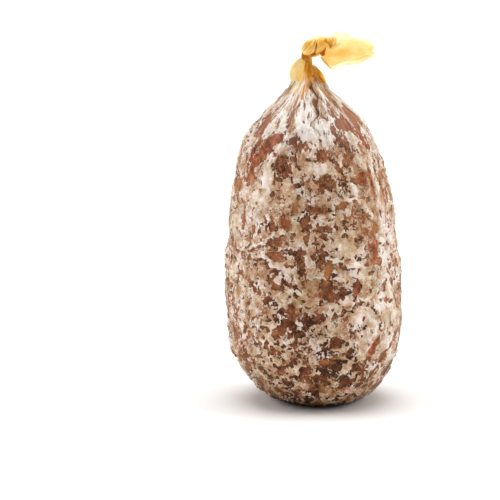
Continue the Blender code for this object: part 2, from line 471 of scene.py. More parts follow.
# Where the film has rubbed off: direction, height, half width, half height, turn, strength.
RUBBED = (
    (-37, 111, 4.4, 2.4, 20, 1), (-45, 108, 3.4, 3, 0, 1), (-51, 104, 3, 4.2, 25, 1.1),
    (-55, 99, 2.6, 4.4, 10, 1), (-58, 116, 0.8, 5, 22, 0.9), (-38, 118, 0.9, 2.8, 10, 0.8),
    (-21, 116, 2, 3.5, 10, 0.35), (47, 117, 3.6, 2.8, -25, 0.85), (29, 110, 2.6, 2.4, -10, 0.7),
    (50, 113, 1.3, 1.2, 0, 1), (6, 105, 3.6, 2.8, 0, 0.55), (-22, 103, 5, 3.2, 0, 0.55),
    (-17, 111.5, 2.2, 0.8, 20, 0.8), (-9, 109, 0.7, 2.2, 5, 0.9), (19, 103, 1.9, 0.9, -40, 0.9),
    (31, 103, 2.2, 2.2, 0, 0.8), (40, 96, 3, 3.8, 25, 1), (25, 97, 1.6, 0.9, 0, 0.9),
    (12, 96, 3.8, 2.5, 0, 0.9), (-26, 96, 1.6, 0.8, 0, 0.9), (-12, 94, 1.9, 1.1, 10, 1),
    (-11, 90, 0.8, 0.8, 0, 0.8), (-13, 84.5, 1.3, 2.2, 15, 1), (4, 84.5, 4.6, 1.8, 5, 0.9),
    (21, 86.5, 3.2, 1.6, 30, 0.8), (36, 80.5, 2.4, 2.4, 0, 0.8), (59, 110, 1, 5.5, -12, 0.9),
    (64, 91, 1.2, 4.4, -10, 0.9), (-56, 81, 1.4, 4, 6, 0.7), (-20, 79, 2, 1.9, 30, 1),
    (-7, 79.5, 1.8, 3, 0, 0.7), (7, 77, 3, 1.5, 8, 0.7), (21, 80, 4.2, 3.4, 0, 0.6),
    (37, 75.5, 1.7, 1.5, 0, 0.9), (45.5, 76, 1.6, 2.3, 0, 1.1), (44, 67, 1.7, 4.6, -12, 0.9),
    (-26, 65, 4, 1.4, -12, 0.8), (4, 64.5, 1.9, 1.5, 20, 0.75), (8, 60.5, 1.1, 2.9, -28, 0.85),
    (9, 53.5, 5, 4.2, 0, 0.5), (27, 53.5, 1.5, 3, 0, 0.8), (-9, 58.5, 1.9, 4, 0, 0.6),
    (-23, 53, 1.8, 0.8, 5, 0.9), (-16, 42, 2, 5, 0, 0.6), (1, 41, 3.4, 2.2, 0, 0.6), (13, 31, 3.2, 2, 8, 0.9),
    (41, 27, 1.7, 4, -28, 0.9), (14, 22, 4, 2.2, -10, 0.8), (21, 15, 2.4, 1.8, -30, 0.7),
    (52, 127, 2.4, 3.6, -30, 0.45), (66, 119, 2.4, 5, -30, 0.45), (-52, 122, 1.8, 4, 25, 0.15),
    (-33, 130.5, 0.25, 2.2, 0, 0.8), (2, 130, 0.25, 2.4, 0, 0.7), (-1, 10, 3.4, 2.6, 0, 0.7),
    (-8, 19, 2.2, 1.7, 0, 0.7), (-26, 18, 2.2, 2, 0, 0.7), (60, 55, 0.7, 4.6, 32, 1),
    (67, 44, 0.7, 4.2, 22, 1), (47, 39, 0.6, 5, 12, 0.9), (60, 27, 0.8, 8.5, -51, 1),
    (76, 27, 0.8, 6, -48, 1), (52, 52, 0.8, 2.2, 10, 0.9), (54, 22, 0.8, 4, -45, 0.9),
    (46, 16, 0.8, 3.4, -42, 0.9), (35, 12.5, 0.9, 3.2, -38, 0.9), (23, 12.5, 1.2, 3, -58, 0.9),
    (83, 50, 0.9, 8, 5, 0.9), (78, 70, 0.7, 7, 8, 0.8), (7, 125.5, 0.7, 1.6, 0, 1.3),
    (30, 117, 0.7, 2, 35, 0.9), (69, 60, 0.6, 4, 5, 0.8), (57, 38, 0.5, 2.4, 10, 0.8),
    (50, 94, 1, 6.5, -3, 1.1), (60, 98, 0.8, 2.8, 0, 1), (63, 92, 1, 4.5, 25, 1), (52, 106, 1.2, 3.5, 25, 1),
)
# Where the film is thickest, in the same way as the rows above.
THICK = (
    (2, 114.5, 4, 3, 0, 1), (-8, 120, 2.6, 6, 0, 0.7), (-36, 94, 2.4, 5, 0, 0.9), (22, 69, 4.5, 3.2, 0, 0.8),
    (4, 100.5, 3, 2, 0, 0.5), (60, 50, 8, 32, -8, 0.45), (58, 92, 5, 18, -10, 0.35), (-62, 70, 4, 14, 0, 0.4),
    (44, 33, 7, 11, 0, 0.75), (-48, 86, 9, 9, 0, 0.35), (29, 60, 4.5, 3.5, 0, 0.6), (56, 68, 4, 8, 0, 0.8),
    (31, 41, 6, 4, 0, 0.9), (60, 42, 9, 16, 0, 0.75), (62, 20, 8, 10, 0, 0.6),
)
# Where the film is thinnest, so that the casing darkens it. The spot beside the deep pleat high on the front
# is painted shade.
THIN = (
    (24, 71, 4, 3.2, -10, 0.55), (50, 126, 3, 4.5, -30, 0.9), (2, 125, 0.9, 1.8, -25, 1),
    (34, 122, 2.4, 3.4, -20, 0.7), (42, 118, 3, 3, -20, 0.4),
)
# Where the bare casing is thin and ruddy, over lean meat.
RUDDY = (
    (-37, 111, 4, 2.6, 20, 1), (-45, 108, 3.2, 3, 0, 1), (-53, 102, 2.8, 5.6, 15, 1),
    (59, 110, 2, 6, -12, 0.9), (64, 91, 2, 5.4, -10, 0.9), (44, 67, 2.4, 5.4, -12, 0.9),
    (40, 96, 3.6, 4.4, 25, 0.6), (-60, 98, 3, 8, 5, 0.7), (47, 117, 3.6, 3, -25, 1),
    (-58, 116, 1.2, 5.6, 22, 0.9), (50, 94, 1.4, 6.5, -3, 0.9), (63, 92, 1.2, 5, 25, 0.8),
    (41, 27, 2.4, 4.6, -28, 0.8), (-20, 79, 2.6, 2.5, 30, 0.5), (27, 53, 2, 3.6, 0, 0.5),
)
# Where the bare casing is golden, over fat.
GOLDEN = (
    (7.5, 60.5, 1.4, 3.4, -28, 0.9), (45.5, 76, 1.8, 2.5, 0, 0.9), (7, 125.5, 0.9, 1.8, 0, 1),
    (52, 106, 1.4, 3.6, 25, 0.9), (-13, 84.5, 1.6, 2.6, 15, 0.5), (22, 87, 4, 1.2, 10, 0.8),
    (-9, 12, 3, 2.4, 0, 0.8), (47, 39, 0.9, 5.4, 12, 0.9),
)


def spots_of(rows):
    """A field that is high inside each of the rows' slanted ovals."""
    total = np.zeros(count)
    for direction, at_height, half_across, half_up, slant, strength in rows:
        right = turned_from(direction)
        up = height - at_height
        cos, sin = math.cos(math.radians(slant)), math.sin(math.radians(slant))
        oval = np.hypot((right * cos + up * sin) / half_across, (up * cos - right * sin) / half_up)
        total = np.maximum(total, strength * smooth_step(1.6, 0.5, oval))
    return total


def more_spots(how_many):
    """Rows like the ones above, scattered over the sides and the back."""
    rows = []
    for number in range(how_many):
        direction = 65.0 + 230.0 * rng.random()
        at_height = 8.0 + 112.0 * rng.random()
        half_across = 1.0 + 3.5 * rng.random() ** 2
        half_up = 1.0 + 3.5 * rng.random() ** 2
        slant = 40.0 * rng.random() - 20.0
        rows.append((direction, at_height, half_across, half_up, slant, 0.35 + 0.5 * rng.random()))
    return tuple(rows)


def keep_on(mesh, name, values):
    """Stores one number, or three, at each point of a mesh, for the material to read."""
    kind, kept_as = ("FLOAT", "value") if values.ndim == 1 else ("FLOAT_VECTOR", "vector")
    layer = mesh.attributes.new(name, kind, "POINT")
    layer.data.foreach_set(kept_as, values.ravel().astype(np.float32))


# Thick film covers most of what is rubbed off below it. The right side of the neck is amber.
rubbed = spots_of(RUBBED + more_spots(85))
thick = spots_of(THICK + more_spots(12)) + 0.5 * crumpled + 0.6 * ridged
deep_amber = 0.12 + 0.55 * smooth_step(-42.0, -12.0, facing) - 0.15 * smooth_step(30.0, 60.0, facing)
keep_on(body.data, "pattern_place", pattern_place)
keep_on(body.data, "rubbed", rubbed - 0.9 * thick * (1.0 - 0.7 * rubbed) - 0.1 * ridged)
keep_on(body.data, "height", height)
keep_on(body.data, "thin_film_and_crease_shade", thin_film_and_crease_shade + spots_of(THIN))
# front_vs_side_light is 1 on the front and 0.35 at the sides. The material paints light with it: the bare
# casing lighter and tan at the sides, where the side lamps fall, and darker on the front, where the film is
# creamier and tinted warm.
keep_on(body.data, "front_vs_side_light", 1.0 - 0.65 * at_side)
keep_on(body.data, "ruddy", spots_of(RUDDY + more_spots(14)))
keep_on(body.data, "amber", deep_amber)
keep_on(body.data, "golden", spots_of(GOLDEN))
keep_on(body.data, "lip_distance", np.clip(lip_distance, -FAR_FROM_LIPS, FAR_FROM_LIPS))


def product(first, *factors):
    for factor in factors:
        first = calc("MULTIPLY", first, factor)
    return first


def weighted(start, *parts):
    """The start, with each part's value times its weight added to it."""
    for value, weight in parts:
        start = calc("MULTIPLY_ADD", value, weight, start)
    return start


def highest(first, *others):
    for other in others:
        first = calc("MAXIMUM", first, other)
    return first


def on_place(operation, place, other):
    """Maths on a place, with another place or the same number for each of its axes."""
    other = (other,) * 3 if isinstance(other, float) else other
    return add(place.id_data, "ShaderNodeVectorMath", {0: place, 1: other}, operation=operation).outputs[0]


def noise_at(place, size, detail, rough, offset):
    """A noise node with bumps about this many millimetres wide. The offset is its own place in the
    noise, so that no two of them look alike."""
    inputs = {"Scale": 1.0 / size, "Detail": detail, "Roughness": rough}
    return add(place.id_data, "ShaderNodeTexNoise", {"Vector": on_place("ADD", place, offset), **inputs})


def speckle(place, size, detail=2.0, rough=0.5, offset=0.0):
    """Cloudy noise from 0 to 1."""
    return noise_at(place, size, detail, rough, offset).outputs["Fac"]


def pushed(place, size, distance, offset):
    """The place, pushed about at random by up to this many millimetres."""
    push = noise_at(place, size, 3.0, 0.6, offset).outputs["Color"]
    return on_place("ADD", place, on_place("MULTIPLY", on_place("SUBTRACT", push, 0.5), 2.0 * distance))


def flaking(place, size, share):
    """Angular flakes of about this size, of which this share has come off: 1 inside those, 1 along the edge
    that is left beside them, 1 at the foot of that edge, where a shadow is painted on the bare casing, and a
    random tint for each."""
    inputs = {"Vector": place, "Scale": 1.0 / size}
    nearest = add(place.id_data, "ShaderNodeTexVoronoi", inputs, feature="F1").outputs
    second = add(place.id_data, "ShaderNodeTexVoronoi", inputs, feature="F2").outputs
    numbers = add(place.id_data, "ShaderNodeSeparateXYZ", {0: nearest["Color"]}).outputs
    second_numbers = add(place.id_data, "ShaderNodeSeparateXYZ", {0: second["Color"]}).outputs
    off = calc("LESS_THAN", numbers[0], share)
    second_off = calc("LESS_THAN", second_numbers[0], share)
    apart = product(calc("SUBTRACT", second["Distance"], nearest["Distance"]), size)
    border = ramp(apart, 0.75, 0.45)
    rim = product(border, calc("SUBTRACT", second_off, off, clamp=True))
    painted_edge_shadow = product(border, calc("SUBTRACT", off, second_off, clamp=True))
    return off, rim, painted_edge_shadow, ramp(numbers[1], 0.2, 0.8)


def vein(value, half):
    """1 where a noise crosses its middle, falling to 0 this far from it: a net of thin lines."""
    return ramp(calc("ABSOLUTE", calc("SUBTRACT", value, 0.5)), half, 0.0)


SMALL_FLAKE, LARGE_FLAKE = 1.7, 3.4  # in millimetres across
SMALL_SHARE, LARGE_SHARE = 0.90, 0.76  # of the flakes are off, before the wear is taken away
BARE_ABOVE = -0.55  # the wear at which whole patches are bare
SHOULDER_FOOT = 104.0
FILM_ENDS_AT = 136.0  # the height above which the neck is bare
LENGTHWISE = (1.0, 1.0, 0.14)  # stretches a pattern along the casing


def mould_film(place, rubbed, height, lip):
    """The film's cover from 0, bare, to 1, whole, its thickness in millimetres, what shapes it, and the strip
    at the foot of its edges, where a shadow is painted on the casing.
    """
    ragged = pushed(pushed(place, 3.0, 1.6, 5.0), 0.9, 0.45, 15.0)
    broad = speckle(place, 12.0)
    middle = speckle(ragged, 2.6, 4.0, 0.55, 9.0)
    # Along a fold the film is torn: a lip stands up, with a gap under it.
    torn = weighted(-3.0, (lip, 1.0), (middle, 6.0))
    here_and_there = ramp(speckle(place, 4.0, offset=170.0), 0.36, 0.50)
    lip_line = product(ramp(torn, -0.35, -0.1), ramp(torn, 1.5, 0.3), here_and_there)
    here_and_there = ramp(speckle(place, 6.0, offset=160.0), 0.42, 0.54)
    gap = product(ramp(torn, -1.9, -1.2), ramp(torn, -0.1, -0.35), here_and_there)
    here_and_there = ramp(speckle(place, 10.0, 1.0, 0.5, 140.0), 0.42, 0.56)
    veins = vein(speckle(ragged, 7.0, 3.0, 0.5, 120.0), 0.022)
    raised = highest(lip_line, product(veins, here_and_there, ramp(rubbed, 0.7, 0.2)))
    # Flakes have come off where it is worn, and whole patches where it is worn most.
    worn = weighted(0.0, (middle, -0.5), (broad, -0.9), (rubbed, 0.34), (gap, 0.5), (raised, -0.5))
    lower_wear = calc("ADD", ramp(height, 118.0, 85.0, 0.02, 0.07), ramp(height, 60.0, 10.0, 0.0, 0.10))
    flaked = calc("ADD", worn, lower_wear)
    small, small_rim, small_painted_shadow, small_tint = flaking(ragged, SMALL_FLAKE, calc("ADD", flaked, SMALL_SHARE))
    large, large_rim, large_painted_shadow, large_tint = flaking(ragged, LARGE_FLAKE, calc("ADD", flaked, LARGE_SHARE))
    film = weighted(1.0, (highest(small, large, ramp(worn, BARE_ABOVE, BARE_ABOVE + 0.04)), -1.0))
    broad_tint = ramp(speckle(ragged, 6.0, 3.0, 0.55, 190.0), 0.38, 0.62)
    tint = weighted(0.0, (small_tint, 0.22), (large_tint, 0.33), (broad_tint, 0.45))
    patch_rim = ramp(worn, BARE_ABOVE - 0.035, BARE_ABOVE - 0.005)
    rim = product(highest(small_rim, large_rim, patch_rim), film)
    painted_edge_shadow = highest(small_painted_shadow, large_painted_shadow)
    # It ends in streaks on the neck.
    drawn = on_place("MULTIPLY", place, LENGTHWISE)
    streak = speckle(drawn, 1.3, offset=60.0)
    streak_end = ramp(weighted(height, (streak, 14.0)), FILM_ENDS_AT + 5.2, FILM_ENDS_AT + 4.0)
    film = product(film, product(streak_end, ramp(height, FILM_ENDS_AT + 0.5, FILM_ENDS_AT - 0.5)))
    # Specks have come off everywhere, in streaks on the shoulders.
    streaks = calc("ADD", speckle(drawn, 1.0, 2.0, 0.6, 33.0), ramp(height, 112.0, 130.0, -0.14, -0.03))
    grains = highest(speckle(place, 0.9, 2.0, 0.6, 31.0), streaks)
    grains = calc("ADD", grains, ramp(rubbed, 0.0, -0.6, 0.0, -0.09))
    speck = ramp(weighted(grains, (flaked, 0.25), (tint, -0.10)), 0.44, 0.47)
    thickness = product(film, weighted(0.05, (middle, 0.50), (raised, 0.24)))
    thinner = ramp(height, SHOULDER_FOOT, FILM_ENDS_AT, 1.0, 0.25)
    thickness = product(thickness, weighted(1.0, (speck, -0.35)), thinner)
    film = product(film, weighted(1.0, (speck, -0.72)))
    return film, thickness, broad, raised, gap, tint, rim, painted_edge_shadow


# The film stands on the casing: its thickness is added to the mesh.
growth = bpy.data.node_groups.new("mould_growth", "GeometryNodeTree")
growth.interface.new_socket("Geometry", in_out="INPUT", socket_type="NodeSocketGeometry")
growth.interface.new_socket("Geometry", in_out="OUTPUT", socket_type="NodeSocketGeometry")
mesh_in = growth.nodes.new("NodeGroupInput").outputs[0]


def kept(name, kind="FLOAT"):
    return add(growth, "GeometryNodeInputNamedAttribute", {"Name": name}, data_type=kind).outputs["Attribute"]


film, thickness, *_ = mould_film(
    kept("pattern_place", "FLOAT_VECTOR"), kept("rubbed"), kept("height"), kept("lip_distance")
)
normal = growth.nodes.new("GeometryNodeInputNormal").outputs[0]
lifting = {0: normal, "Scale": product(thickness, MM)}
lifted = add(growth, "ShaderNodeVectorMath", lifting, operation="SCALE").outputs[0]
grown = add(growth, "GeometryNodeSetPosition", {"Geometry": mesh_in, "Offset": lifted}).outputs[0]
add(growth, "NodeGroupOutput", {0: grown})
body.modifiers.new("mould_growth", "NODES").node_group = growth
select_only(body)
bpy.ops.object.modifier_apply(modifier="mould_growth")
bpy.ops.object.shade_smooth()
for point in body.data.vertices:
    point.co.z = max(point.co.z, low.z)


def read(tree, name, output="Fac"):
    return add(tree, "ShaderNodeAttribute", {}, attribute_name=name).outputs[output]


def paint(value, stops):
    """A colour ramp through (place, colour) stops."""
    made = add(value.id_data, "ShaderNodeValToRGB", {"Fac": value})
    while len(made.color_ramp.elements) < len(stops):
        made.color_ramp.elements.new(0.5)
    for element, (place, colour) in zip(made.color_ramp.elements, stops):
        element.position = place
        element.color = (*colour, 1.0)
    return made.outputs["Color"]


def blend(colour, share, other, kind="MIX"):
    """The colour, with a share of the other one over it."""
    made = add(colour.id_data, "ShaderNodeMix", {6: colour}, data_type="RGBA", blend_type=kind)
    for number, value in ((0, share), (7, other)):
        if isinstance(value, bpy.types.NodeSocket):
            colour.id_data.links.new(value, made.inputs[number])
        else:
            made.inputs[number].default_value = value if number == 0 else (*value, 1.0)
    return made.outputs[2]


def tinted(colour, share, tint):
    """The colour, multiplied by a share of the tint."""
    return blend(colour, share, tint, "MULTIPLY")


def amber_depth(tree, place, contrast, *cloud):
    """How deep the amber of the gut is: the amount kept on the mesh, with clouds in it."""
    return weighted(-0.5 * contrast, (read(tree, "amber"), 1.0), (speckle(place, *cloud), contrast))


def wrinkle_surface(surface, height, strength):
    bump = add(height.id_data, "ShaderNodeBump", {"Height": height, "Strength": strength, "Distance": 1.0})
    feed(surface, "Normal", bump.outputs["Normal"])


BROWN_CASING = (
    (0.28, (0.040, 0.012, 0.004)),
    (0.42, (0.13, 0.036, 0.012)),
    (0.55, (0.29, 0.094, 0.035)),
    (0.70, (0.50, 0.21, 0.085)),
)
RUDDY_CASING = (
    (0.38, (0.10, 0.017, 0.008)),
    (0.52, (0.34, 0.075, 0.027)),
    (0.64, (0.62, 0.22, 0.085)),
    (0.75, (0.85, 0.50, 0.30)),
)
AMBER_CASING = (
    (0.05, (1.0, 0.80, 0.46)),
    (0.35, (0.98, 0.60, 0.20)),
    (0.65, (0.74, 0.30, 0.045)),
    (0.95, (0.30, 0.085, 0.010)),
)
MOULD = (
    (0.10, (0.27, 0.115, 0.055)),
    (0.35, (0.475, 0.285, 0.175)),
    (0.60, (0.66, 0.505, 0.385)),
    (0.95, (0.92, 0.85, 0.795)),
)
FAT = (0.50, 0.215, 0.065)
GOLD = (0.52, 0.20, 0.055)
FROST = (0.32, 0.145, 0.075)
DUST_AND_GLINTS = (0.62, 0.46, 0.36)
SHOULDER_CASING = (0.33, 0.165, 0.115)
GREENISH = (0.80, 0.80, 0.62)
ROSY = (1.01, 0.95, 0.97)
GREYISH = (0.99, 1.0, 1.02)
WARM_TINT_AND_BOUNCE = (0.97, 0.865, 0.73)
SHOULDER_FILM = (0.93, 0.95, 0.94)
FOOT_SHADE = (0.30, 0.22, 0.16)

skin, tree, surface = new_material("mould_dusted_skin")
place = read(tree, "pattern_place", "Vector")
height, rubbed, thin_film_and_crease_shade, front_vs_side_light, ruddy, golden, lip = (
    read(tree, name)
    for name in ("height", "rubbed", "thin_film_and_crease_shade", "front_vs_side_light", "ruddy", "golden", "lip_distance")
)
film, thickness, broad, raised, gap, tint, rim, painted_edge_shadow = mould_film(place, rubbed, height, lip)

# The bare casing is darker low down, ruddy over lean meat and golden over fat. Its painted light and shade
# make it darker in the gaps under torn lips, at the foot of the film's edges and on the front, and lighter at
# the sides. It is dusted with mould, with pale specks that are partly painted glints, and turns to bare amber
# gut on the neck.
tone = speckle(place, 5.0, 3.0, 0.6, 50.0)
darker_low = calc("ADD", ramp(height, 100.0, 20.0, 0.0, -0.05), ramp(height, 30.0, 8.0, 0.0, -0.10))
# Painted light and shade: the casing is a little lighter at the sides, where the side lamps fall, and darker
# in the gaps under torn lips and at the foot of the film's edges.
brown = weighted(0.08, (tone, 1.0), (front_vs_side_light, -0.08), (ruddy, 0.09), (highest(gap, painted_edge_shadow), -0.05))
casing = paint(calc("ADD", brown, darker_low), BROWN_CASING)
ruddy_here = ramp(ruddy, 0.2, 0.8)
lean = paint(speckle(place, 2.6, 4.0, 0.66, 230.0), RUDDY_CASING)
casing = blend(casing, product(ruddy_here, 0.8), lean)
fatty = ramp(speckle(place, 6.0, 3.0, 0.6, 300.0), 0.58, 0.66, 0.0, 0.7)
# Its side bias makes the bare casing tan at the sides: painted light from the side lamps.
fatty = weighted(0.25, (front_vs_side_light, -0.25), (fatty, 1.0), (ruddy_here, -0.7))
casing = blend(casing, fatty, FAT)
casing = blend(casing, product(golden, 0.85), GOLD)
powdered = ramp(height, 30.0, 90.0, 0.35, 1.0)
frost = ramp(speckle(place, 1.5, 4.0, 0.68, 110.0), 0.49, 0.59, 0.0, 0.6)
casing = blend(casing, product(frost, weighted(1.0, (ruddy_here, -0.7)), powdered), FROST)
# Pale specks on the bare casing: partly mould dust, partly painted glints on the glossy casing.
dust_and_glints = product(ramp(speckle(place, 0.8, 3.0, 0.7, 115.0), 0.59, 0.65, 0.0, 0.7), powdered)
casing = blend(casing, weighted(dust_and_glints, (ruddy_here, -0.3)), DUST_AND_GLINTS)
casing = blend(casing, ramp(height, SHOULDER_FOOT, 118.0, 0.0, 0.5), SHOULDER_CASING)
drawn = on_place("MULTIPLY", place, LENGTHWISE)
amber = paint(amber_depth(tree, drawn, 1.2, 1.2, 3.0, 0.6, 80.0), AMBER_CASING)
casing = blend(casing, ramp(weighted(height, (tone, 10.0)), 130.0, 137.0), amber)

# The film is see-through where it is thin, cream where it is thick, and chalky on its ridges.
mottle = speckle(place, 1.1, 4.0, 0.7, 90.0)
depth = weighted(
    -0.61,
    (speckle(place, 8.0, offset=200.0), 0.7),
    (tint, 0.60),
    (mottle, 0.9),
    (product(rim, ramp(height, 20.0, 80.0, 0.6, 1.0)), 0.25),
    # a little creamier on the front than at the sides, as part of the light painted by facing
    (front_vs_side_light, 0.09),
    # darker where it is thin, and in the creases, where this is painted shade
    (thin_film_and_crease_shade, -0.42),
    (ramp(height, 96.0, 122.0), 0.13),
    (ramp(height, 30.0, 6.0), -0.16),
    (raised, 0.45),
    (rubbed, -0.28),
)
mould = paint(depth, MOULD)
# Greenish in broad patches and in the creases, where the darker green is partly painted shade.
green_here = highest(ramp(broad, 0.50, 0.62, 0.0, 0.6), thin_film_and_crease_shade)
green_here = calc("MULTIPLY", green_here, ramp(height, 112.0, 96.0), clamp=True)
mould = tinted(mould, product(green_here, 0.85), GREENISH)
rosy_here = ramp(speckle(place, 3.5, 3.0, 0.6, 410.0), 0.44, 0.60)
rosy_here = product(rosy_here, front_vs_side_light, ramp(height, 118.0, SHOULDER_FOOT))
mould = blend(tinted(mould, 1.0, GREYISH), rosy_here, tinted(mould, 1.0, ROSY))
# Lower down on the front, thinner film is tinted warm: partly its own beige, partly painted warm light
# reflected on to the front.
warm_tint_and_bounce = product(ramp(height, 122.0, 98.0), ramp(depth, 1.0, 0.65, 0.5, 1.0), front_vs_side_light)
mould = tinted(mould, warm_tint_and_bounce, WARM_TINT_AND_BOUNCE)
mould = tinted(mould, ramp(height, SHOULDER_FOOT, 120.0), SHOULDER_FILM)
skin_colour = tinted(blend(casing, film, mould), ramp(height, 6.0, 1.0), FOOT_SHADE)
feed(surface, "Base Color", skin_colour)
feed(surface, "Roughness", ramp(film, 0.0, 1.0, 0.30, 0.88))
fine = speckle(place, 0.5, 3.0, 0.6, 70.0)
stands_up = weighted(thickness, (rim, 0.06), (tint, 0.14), (mottle, 0.35), (fine, 0.14))
stands_up = product(stands_up, ramp(height, SHOULDER_FOOT, FILM_ENDS_AT, MM, 0.25 * MM))
wrinkle_surface(surface, stands_up, 0.9)
surface.inputs["Specular IOR Level"].default_value = 0.08
body.data.materials.append(skin)

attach(body, "root")
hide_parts("sausage")
bpy.data.objects.remove(guide)

# ---------------------------------------------------------------------------------------------
# The tied neck: the empty end of the gut, twisted tight, bent over and wound round itself. It has
# dried hard and see-through yellow, and is amber where many layers lie together.
# ---------------------------------------------------------------------------------------------
STRAND_SIDES = 96
STRAND_RINGS = 120
LAP_EDGE = 0.07  # the share of a turn in which one layer steps up on to the next


def curve_through(points, places):
    """Where an even curve through the points is, at places from 0, the first point, to 1, the last."""
    points = np.array(points, float)
    padded = np.vstack((2.0 * points[0] - points[1], points, 2.0 * points[-1] - points[-2]))
    at = np.clip(places, 0.0, 1.0) * (len(points) - 1)
    span = np.minimum(at.astype(int), len(points) - 2)
    t = (at - span)[:, None]
    a, b, c, d = (padded[span + step] for step in range(4))
    return b + 0.5 * t * (c - a + t * (2.0 * a - 5.0 * b + 4.0 * c - d + t * (3.0 * (b - c) + d - a)))


def gut_material(name, contrast, cloud, colours, wrinkle_size, roughness, wrinkle_depth):
    """Dried gut: its colour by how deep its amber is, its roughness and height by its wrinkles."""
    material, tree, surface = new_material(name)
    place = read(tree, "pattern_place", "Vector")
    feed(surface, "Base Color", paint(amber_depth(tree, place, contrast, *cloud), colours))
    wrinkle = speckle(place, wrinkle_size, 4.0, 0.6, 60.0)
    feed(surface, "Roughness", ramp(wrinkle, 0.3, 0.7, *roughness))
    wrinkle_surface(surface, product(wrinkle, wrinkle_depth * MM), 0.7)
    return material, surface


TWISTED_GUT = (
    (0.0, (1.0, 0.76, 0.44)),
    (0.16, (1.0, 0.70, 0.28)),
    (0.36, (0.97, 0.57, 0.13)),
    (0.60, (0.76, 0.34, 0.025)),
    (0.82, (0.53, 0.20, 0.006)),
    (1.0, (0.50, 0.10, 0.002)),
)
dry, surface = gut_material("dried_gut", 0.9, (1.6, 4.0, 0.6, 20.0), TWISTED_GUT, 0.6, (0.30, 0.50), 0.25)
surface.inputs["Specular IOR Level"].default_value = 0.12
surface.inputs["Subsurface Weight"].default_value = 0.3
surface.inputs["Subsurface Radius"].default_value = (1.0, 0.8, 0.5)
surface.inputs["Subsurface Scale"].default_value = 0.6 * MM


def unit(directions):
    return directions / np.linalg.norm(directions, axis=1)[:, None]


def strand(name, pitch, step_up, amber, furrows, line):
    """A tapered strand of twisted gut along a line of (x, y, z, half width, half depth) in
    millimetres. Its layers lap over each other once in every pitch, by step_up."""
    deselect_all()
    bpy.ops.mesh.primitive_uv_sphere_add(segments=STRAND_SIDES, ring_count=STRAND_RINGS, radius=1.0)
    made = name_piece(name)
    ball = points_of(made.data)
    along = np.arccos(np.clip(-ball[:, 2], -1.0, 1.0)) / math.pi
    turn = np.arctan2(ball[:, 1], ball[:, 0])
    rows = np.array(line)
    here = curve_through(rows, along)
    ahead = unit(curve_through(rows[:, :3], along + 0.01) - curve_through(rows[:, :3], along - 0.01))
    back = unit(np.array((0.0, 1.0, 0.0)) - ahead * ahead[:, 1:2])
    side = np.cross(back, ahead)
    length = np.sum(np.linalg.norm(np.diff(rows[:, :3], axis=0), axis=1))
    closing = np.sqrt(np.clip(1.0 - np.abs(2.0 * along - 1.0) ** 5, 0.0, 1.0))
    lap = (turn / math.tau + along * length / pitch) % 1.0
    reach_here = 0.5 * (here[:, 3] + here[:, 4])
    wound = np.stack((np.cos(turn) * reach_here, np.sin(turn) * reach_here, along * length * 0.4), axis=1)
    stands_up = step_up * (smooth_step(0.0, LAP_EDGE, lap) * 1.25 - 0.5 - np.maximum(lap - LAP_EDGE, 0.0))
    stands_up += 0.45 * clouds(wound + 30.0, 2.2, 3)
    stands_up += furrows * np.sin(7.0 * turn + 2.0 * clouds(wound, 4.0, 2))
    swell = closing * (1.0 + stands_up / np.maximum(reach_here, 0.4))
    out = side * (np.cos(turn) * here[:, 3])[:, None] + back * (np.sin(turn) * here[:, 4])[:, None]
    put(made.data, (here[:, :3] + out * swell[:, None]) * MM)
    keep_on(made.data, "pattern_place", wound)
    under = np.minimum(np.exp(-(1.0 - lap) / 0.10) + smooth_step(LAP_EDGE, 0.0, lap), 1.0)
    deeper = min(1.0, step_up / 0.25) * (0.40 * under - 0.15 * bell(lap - LAP_EDGE, 0.06))
    deeper += 0.20 * np.exp(-along / 0.15)
    keep_on(made.data, "amber", amber + deeper + 0.5 * clouds(wound, 3.0, 2))
    bpy.ops.object.shade_smooth()
    made.data.materials.append(dry)
    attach(made, "root")
    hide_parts("sausage")


